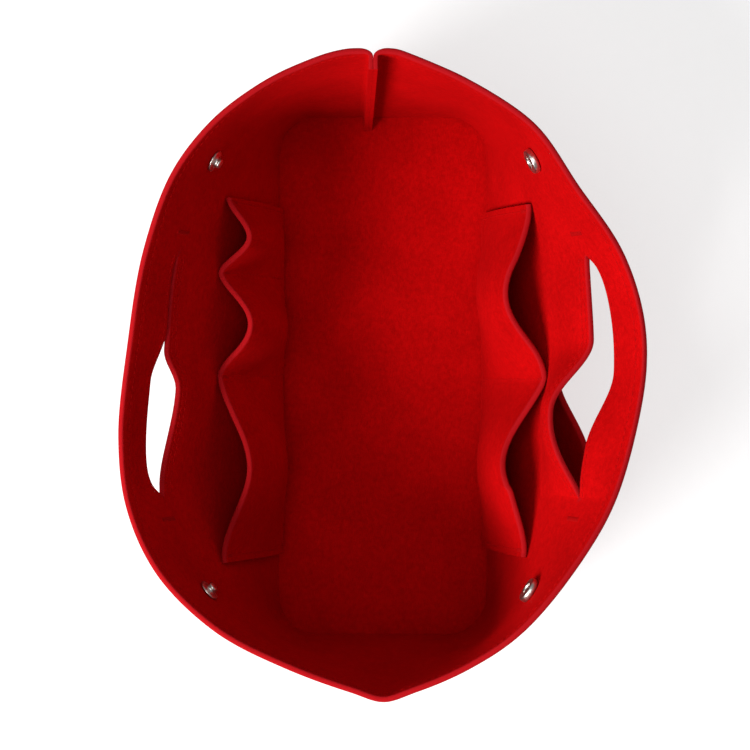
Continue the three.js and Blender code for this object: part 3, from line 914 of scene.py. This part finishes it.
band_felt = {}
band_thread = {}
first = 0
for name, part in band_parts:
    last = first + len(part) - 1
    felt = Felt()
    thread = Thread()
    is_wall = name.endswith("_wall")
    if is_wall:
        slit_first, slit_last = slit_ends[int(part[0, SIDE])]
        felt.add(band_loops(first, slit_first), cap_first=0, cap_last=slit_row)
        felt.add(band_loops(slit_first, slit_last, slit_row + 1))
        felt.add(band_loops(slit_last, last), cap_first=slit_row, cap_last=0)
    else:
        felt.add(band_loops(first, last), cap_first=0, cap_last=0)
    for face in (1, -1):
        stretches = [(first, slit_first), (slit_last, last)] if is_wall else [(first, last)]
        for stretch in stretches:
            thread.row(*face_path(*stretch, nearest(rows, BAND_WIDTH - RIM_STITCH), face))
        if is_wall:
            for below in LIP_STITCHES:
                thread.row(*face_path(slit_first + 1, slit_last - 1, nearest(rows, SLIT - below), face))
            for column in (slit_first - TACK_COLUMNS, slit_last + TACK_COLUMNS):
                place, out = face_path(column, column, slit_row, face)
                thread.tack(place[0], band_up[column, slit_row], out[0], SLIT_TACK_LENGTH)
    if name.startswith("seam_lobe"):
        sewn = first + SEAM_STITCH_COLUMNS if name.endswith("front") else last - SEAM_STITCH_COLUMNS
        out = -band_out[sewn]
        path = band_middle[sewn] + out * band_half[sewn, :, None]
        thread.row(path[1:-1], out[1:-1])
        thread.tack(path[SEAM_TACK_ROW], band_up[sewn, SEAM_TACK_ROW], out[SEAM_TACK_ROW])
    band_felt[name] = felt
    band_thread[name] = thread
    first = last


# The handles: strips of the same band above the slits, in halves that meet at the middle
def handle_parts(name, side):
    x = along_slit if side == FRONT else along_slit[::-1]
    cols = wall_columns(side, x)
    kerf = SLIT_KERF * lip_share(x, LIP_EDGE_RUN)[:, None]
    height = BAND_WIDTH - (BAND_WIDTH - rows_high)[None] * (HANDLE_WIDTH - kerf) / HANDLE_WIDTH
    face, out, up = band_face(cols, height, handle_push)
    half = FELT / 2 - dent(height - (BAND_WIDTH - RIM_STITCH))
    sewn = lip_share(x, LIP_SEAM_RUN, LIP_SEAM_BEYOND)[:, None]
    half = half - sewn * dent(height - (SLIT + HANDLE_STITCH))
    middle = face - out * (FELT / 2)
    for own, column in zip((0, -1), slit_ends[side]):
        middle[own] = band_middle[column, slit_row:]
        out[own] = band_out[column, slit_row:]
        up[own] = band_up[column, slit_row:]
        half[own] = band_half[column, slit_row:]
    stitch_rows = [nearest(rows_high, BAND_WIDTH - RIM_STITCH), nearest(rows_high, SLIT + HANDLE_STITCH)]
    centre = len(x) // 2
    for first, last in ((0, centre), (centre, len(x) - 1)):
        end = SEAM_END if x[first] + x[last] > 0 else FOLD_END
        part = slice(first, last + 1)
        rounding = np.full(last + 1 - first, EDGE_ROUND)
        felt = Felt()
        felt.add(
            loops_round(middle[part], out[part], up[part], half[part], lip_rounding(x[part]), rounding),
            cap_first=0, cap_last=0,
        )
        thread = Thread()
        for direction in (1, -1):
            for row in stitch_rows:
                normal = direction * out[part, row]
                thread.row(middle[part, row] + normal * half[part, row, None], normal)
        label = f"{name}_{'seam' if end == SEAM_END else 'fold'}_half"
        MOTIONS[label] = handle_bend(end, side)
        SOLID_OF[label] = name
        band_felt[label] = felt
        band_thread[label] = thread


handle_parts("front_handle", FRONT)
handle_parts("back_handle", BACK)

# Each stretch of the band as felt with shared normals and its thread, in place of its solid
for (name, felt), normals in zip(band_felt.items(), shared_normals(band_felt.values())):
    piece = add_felt(f"{name}_felt", felt, normals)
    attach(piece, MOTIONS[name])
    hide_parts(SOLID_OF.get(name, name))
    sewing = add_thread(f"{name}_thread", band_thread[name])
    attach(sewing, MOTIONS[name])


# Pocket panels, sewn to the wall at their sides, their foot and between the pockets
def pocket(name, side, inside, stitches, gape):
    swell = np.sin(np.linspace(0, math.pi, POCKET_POINTS)) ** POCKET_ROUNDNESS
    x = joined([np.linspace(a, b, POCKET_POINTS) for a, b in zip(stitches, stitches[1:])])
    bulge_at = joined([size * swell for size in gape])
    if side == BACK:
        x = x[::-1]
        bulge_at = bulge_at[::-1]
    height = np.append(np.linspace(POCKET_FOOT, POCKET_HEIGHT - EDGE_ROWS_END, POCKET_ROWS), POCKET_HEIGHT)
    wall, wall_out, _ = band_face(wall_columns(side, x), height[None], wall_push)
    up_share = (height - POCKET_FOOT) / (POCKET_HEIGHT - POCKET_FOOT)
    bulge = bulge_at[:, None] * np.sin(up_share * math.pi / 2)[None]
    turn = -1 if inside else 1
    away = turn * (POCKET_GAP + bulge + FELT / 2) - (FELT if inside else 0)
    middle = wall + wall_out * away[..., None]
    out, up = directions(middle)
    sewn_at = [stitches[0] - POCKET_STITCH, *stitches[1:-1], stitches[-1] + POCKET_STITCH]
    sewn_columns = [nearest(x, place) for place in sewn_at]
    from_stitch = np.min([np.abs(x - x[column]) for column in sewn_columns], axis=0)
    half = FELT / 2 - np.repeat((POCKET_DENT_SHARE * dent(from_stitch))[:, None], len(height), axis=1)
    half = half - dent(height - POCKET_FOOT - POCKET_STITCH)[None]
    felt = Felt()
    rounding = np.full(len(x), EDGE_ROUND)
    felt.add(loops_round(middle, out, up, half, rounding, rounding), cap_first=0, cap_last=0)
    piece = add_felt(f"{name}_felt", felt, shared_normals([felt])[0])
    thread = Thread()
    faced = turn * out
    surface = middle + faced * half[..., None]
    foot_row = nearest(height, POCKET_FOOT + POCKET_STITCH)
    thread.row(surface[1:-1, foot_row], faced[1:-1, foot_row])
    for column in sewn_columns:
        thread.row(surface[column, foot_row:-1], faced[column, foot_row:-1])
        tack = (column, POCKET_TACK_ROW)
        thread.tack(surface[tack], up[tack], faced[tack])
    body = WALL_BODY[side]
    sewing = add_thread(f"{name}_thread", thread)
    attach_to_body(piece, body)
    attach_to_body(sewing, body)
    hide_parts(name)


for name, facts in POCKETS.items():
    pocket(name, **facts)


# Base panel, and the whip stitches that sew the band to its edge
def base_outline(inset):
    radius = BASE_CORNER - inset
    turn = np.linspace(0, math.pi / 2, BASE_CORNER_POINTS)
    corners = []
    for k, (x, y) in enumerate([(1, 1), (-1, 1), (-1, -1), (1, -1)]):
        angle = turn + k * math.pi / 2
        centre = np.array([x * (HALF_LENGTH - BASE_CORNER), y * (HALF_WIDTH - BASE_CORNER)])
        corners.append(centre + radius * np.column_stack([np.cos(angle), np.sin(angle)]))
    return np.vstack(corners)


def base_mesh():
    """Outlines of the panel from its underside to its top, round its edge, with both faces last."""
    turn = np.linspace(0, math.pi / 2, BASE_EDGE_POINTS)
    inset = EDGE_ROUND * (1 - np.sin(turn))
    level = EDGE_ROUND * (1 - np.cos(turn))
    outlines = [base_outline(i) for i in np.concatenate([inset, inset[::-1]])]
    levels = np.concatenate([level, FELT - level[::-1]])
    count = len(outlines[0])
    points = np.column_stack([np.vstack(outlines), np.repeat(levels, count)])
    faces = loop_faces(len(outlines), count).tolist()
    faces.append(list(range(count - 1, -1, -1)))
    faces.append(list(range(len(points) - count, len(points))))
    return points, faces


def base_seam():
    """Whip stitches over the foot of the band, all round the base."""
    outline = base_outline(0)
    outline = np.vstack([outline, outline[:1]])
    run = run_lengths(outline)
    count = int(run[-1] // WHIP_PITCH)
    places = np.arange(count) * run[-1] / count
    foot = sampled(outline, run, places)
    ahead = sampled(outline, run, (places + WHIP_AHEAD) % run[-1])
    centre = np.zeros((count, STITCH_RINGS, 3))
    centre[..., :2] = foot[:, None]
    centre[..., 2] = np.linspace(WHIP_LOW, WHIP_HIGH, STITCH_RINGS)
    normal = np.zeros_like(centre)
    normal[..., :2] = unit(np.column_stack([ahead[:, 1] - foot[:, 1], foot[:, 0] - ahead[:, 0]]))[:, None]
    thread = Thread()
    thread.add(centre, normal)
    return thread


def add_base():
    panel = add_object("base_panel_felt", *base_mesh(), FELT_MATERIAL, "felt")
    panel.data.polygons[-1].use_smooth = False
    panel.data.polygons[-2].use_smooth = False
    sewing = add_thread("base_seam_thread", base_seam())
    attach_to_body(panel, "base")
    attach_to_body(sewing, "base")
    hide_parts("base_panel")


add_base()


# Ring snaps, turned and bent from sheet metal and wire
def turned(profile):
    """A profile of radius and height, turned round. A radius of 0 is one point on the axis."""
    angle = 2 * math.pi * np.arange(TURNED_SIDES) / TURNED_SIDES
    points = []
    rings = []
    for radius, height in profile:
        count = TURNED_SIDES if radius > 0 else 1
        rings.append(len(points) + np.arange(TURNED_SIDES) % count)
        points += [(radius * math.cos(a), radius * math.sin(a), height) for a in angle[:count]]
    faces = []
    for low, high in zip(rings, rings[1:]):
        for k in range(TURNED_SIDES):
            corners = (low[k - 1], low[k], high[k], high[k - 1])
            faces.append(tuple(dict.fromkeys(int(corner) for corner in corners)))
    return points, faces


def bent_wire(path, radius):
    along = unit(np.gradient(path, axis=0))
    up = np.broadcast_to([0.0, 0.0, 1.0], path.shape)
    beside = unit(np.cross(up, along))
    angle = 2 * math.pi * np.arange(WIRE_SIDES) / WIRE_SIDES
    ring = up[:, None] * np.sin(angle)[:, None] + beside[:, None] * np.cos(angle)[:, None]
    points = (path[:, None] + radius * ring).reshape(-1, 3)
    return points, tube_faces(1, len(path), WIRE_SIDES)


# Profiles as radius and height. Heights are from the felt's middle layer and grow into the organizer.
SEAT = FELT / 2 + SNAP_SEAT
SOCKET = [
    (2.9, SEAT - 0.1), (5.7, SEAT - 0.1), (6.05, SEAT + 0.05), (6.22, SEAT + 0.4), (6.25, SEAT + 1.2),
    (6.2, SEAT + 2.0), (6.02, SEAT + 2.6), (5.65, SEAT + 2.98), (5.2, SEAT + 3.05), (4.75, SEAT + 2.86),
    (4.3, SEAT + 2.92), (3.75, SEAT + 3.16), (3.3, SEAT + 3.14), (3.02, SEAT + 2.98), (2.9, SEAT + 2.7),
    (2.9, SEAT - 0.1),
]
CAP = [
    (0, -SEAT - 1.9), (1.6, -SEAT - 1.84), (3.2, -SEAT - 1.62), (4.6, -SEAT - 1.2), (5.6, -SEAT - 0.72),
    (6.1, -SEAT - 0.3), (6.25, -SEAT - 0.05), (6.1, -SEAT + 0.1), (1.9, -SEAT + 0.1), (1.9, SEAT),
    (2.3, SEAT + 0.3), (2.25, SEAT + 0.6), (1.5, SEAT + 0.75), (0, SEAT + 0.8),
]
STUD = [
    (0, SEAT + 3.4), (1.5, SEAT + 3.3), (1.9, SEAT + 2.8), (1.9, SEAT - 0.1), (5.2, SEAT - 0.1),
    (5.45, SEAT + 0.1), (5.5, SEAT + 0.4), (5.3, SEAT + 0.75), (4.8, SEAT + 0.95), (4.2, SEAT + 0.9),
    (3.6, SEAT + 0.95), (2.95, SEAT + 1.25), (2.55, SEAT + 1.7), (2.45, SEAT + 2.2), (2.6, SEAT + 2.6),
    (2.66, SEAT + 2.9), (2.55, SEAT + 3.3), (2.2, SEAT + 3.62), (1.6, SEAT + 3.82), (0.9, SEAT + 3.88),
    (0, SEAT + 3.9),
]
EYELET = [
    (0, -SEAT - 1.1), (1.7, -SEAT - 1.06), (3.3, -SEAT - 0.9), (4.5, -SEAT - 0.55), (5.0, -SEAT - 0.2),
    (5.1, -SEAT + 0.05), (4.9, -SEAT + 0.12), (1.6, -SEAT + 0.12), (1.6, SEAT + 1.2), (0, SEAT + 1.2),
]


def spring_path():
    bar = SPRING_GRIP / 2
    reach = SPRING_REACH - SPRING_WIRE / 2
    tail = -math.sqrt(reach**2 - bar**2)
    bend = reach - bar
    turn = np.linspace(math.pi / 2, -math.pi / 2, SPRING_BEND_POINTS)
    level = FELT / 2 + SPRING_LEVEL
    there = [(x, bar, level) for x in np.linspace(tail, bend, SPRING_BAR_POINTS)]
    round_it = [(bend + bar * math.cos(angle), bar * math.sin(angle), level) for angle in turn]
    back = [(x, -bar, level) for x in np.linspace(bend, tail, SPRING_BAR_POINTS)]
    return np.array(there + round_it[1:-1] + back)


def snap_matrix(end, side):
    """Matrix of a snap, with its own Z pointing into the organizer."""
    centre, out = SNAP_SPOTS[end, side]
    matrix = Vector((0, 0, 1)).rotation_difference(Vector(-out)).to_matrix().to_4x4()
    matrix.translation = Vector(centre)
    return matrix


def add_metal(node, shape, matrix, body):
    points, faces = shape
    moved = [matrix @ Vector(point) for point in points]
    piece = add_object(f"{node}_metal", moved, faces, METAL_MATERIAL, "snap_metal")
    piece.data.set_sharp_from_angle(angle=math.radians(METAL_SHARP_DEGREES))
    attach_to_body(piece, body)
    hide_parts(node)


for end, label in ((SEAM_END, "seam_end"), (FOLD_END, "fold_end")):
    on_front = snap_matrix(end, FRONT)
    on_back = snap_matrix(end, BACK)
    add_metal(f"{label}_snap_socket", turned(SOCKET), on_front, "front_side")
    add_metal(f"{label}_snap_spring", bent_wire(spring_path(), SPRING_WIRE / 2), on_front, "front_side")
    add_metal(f"{label}_snap_cap", turned(CAP), on_front, "front_side")
    add_metal(f"{label}_snap_stud", turned(STUD), on_back, "back_side")
    add_metal(f"{label}_snap_eyelet", turned(EYELET), on_back, "back_side")


# Floor, light and camera, in metres
FLOOR_REACH = 4.0
FLOOR_LEVEL = -0.0002
WORLD_STRENGTH = 0.25
LIGHTS = {
    "key": {"place": (-0.68, 0.98, 1.13), "target": (0, 0, 0.08), "size": 0.8, "power": 42},
    "top": {"place": (0.0, 0.2, 1.9), "target": (0, 0, 0), "size": 1.2, "power": 10},
}
CAMERA_PLACE = (0.0005, 0.0042, 1.157)
CAMERA_ABOVE_RIM = 1.0
PHOTO_WIDTH_AT_RIM = 0.3525
SENSOR_WIDTH = 36


def add_floor():
    material, tree, shader, place = new_material("pale_floor")
    speckle = grain(tree, place, SPECKLE_SIZE, 3)
    tree.links.new(ramp(tree, speckle, FLOOR_SHADES), shader.inputs["Base Color"])
    set_inputs(shader, {"Roughness": 0.9, "Emission Color": WHITE, "Emission Strength": FLOOR_GLOW})
    mesh = bpy.data.meshes.new("floor")
    around = ((-1, -1), (1, -1), (1, 1), (-1, 1))
    corners = [(x * FLOOR_REACH, y * FLOOR_REACH, FLOOR_LEVEL) for x, y in around]
    mesh.from_pydata(corners, [], [(0, 1, 2, 3)])
    mesh.materials.append(material)
    floor = bpy.data.objects.new("floor", mesh)
    bpy.context.collection.objects.link(floor)


def add_world():
    world = bpy.data.worlds.new("studio")
    world.use_nodes = True
    set_inputs(world.node_tree.nodes["Background"], {"Color": WHITE, "Strength": WORLD_STRENGTH})
    bpy.context.scene.world = world


def add_light(name, place, target, size, power):
    data = bpy.data.lights.new(name, "AREA")
    data.shape = "DISK"
    data.size = size
    data.energy = power
    lamp = bpy.data.objects.new(name, data)
    lamp.location = place
    lamp.rotation_euler = (Vector(target) - Vector(place)).to_track_quat("-Z", "Y").to_euler()
    bpy.context.collection.objects.link(lamp)


def add_camera():
    data = bpy.data.cameras.new("camera")
    data.sensor_width = SENSOR_WIDTH
    data.lens = SENSOR_WIDTH * CAMERA_ABOVE_RIM / PHOTO_WIDTH_AT_RIM
    camera = bpy.data.objects.new("camera", data)
    camera.location = CAMERA_PLACE
    camera.rotation_euler = (0, 0, -math.pi / 2)
    bpy.context.collection.objects.link(camera)
    bpy.context.scene.camera = camera
    bpy.context.scene.view_settings.view_transform = "Standard"


add_floor()
add_world()
for name, facts in LIGHTS.items():
    add_light(name, **facts)
add_camera()
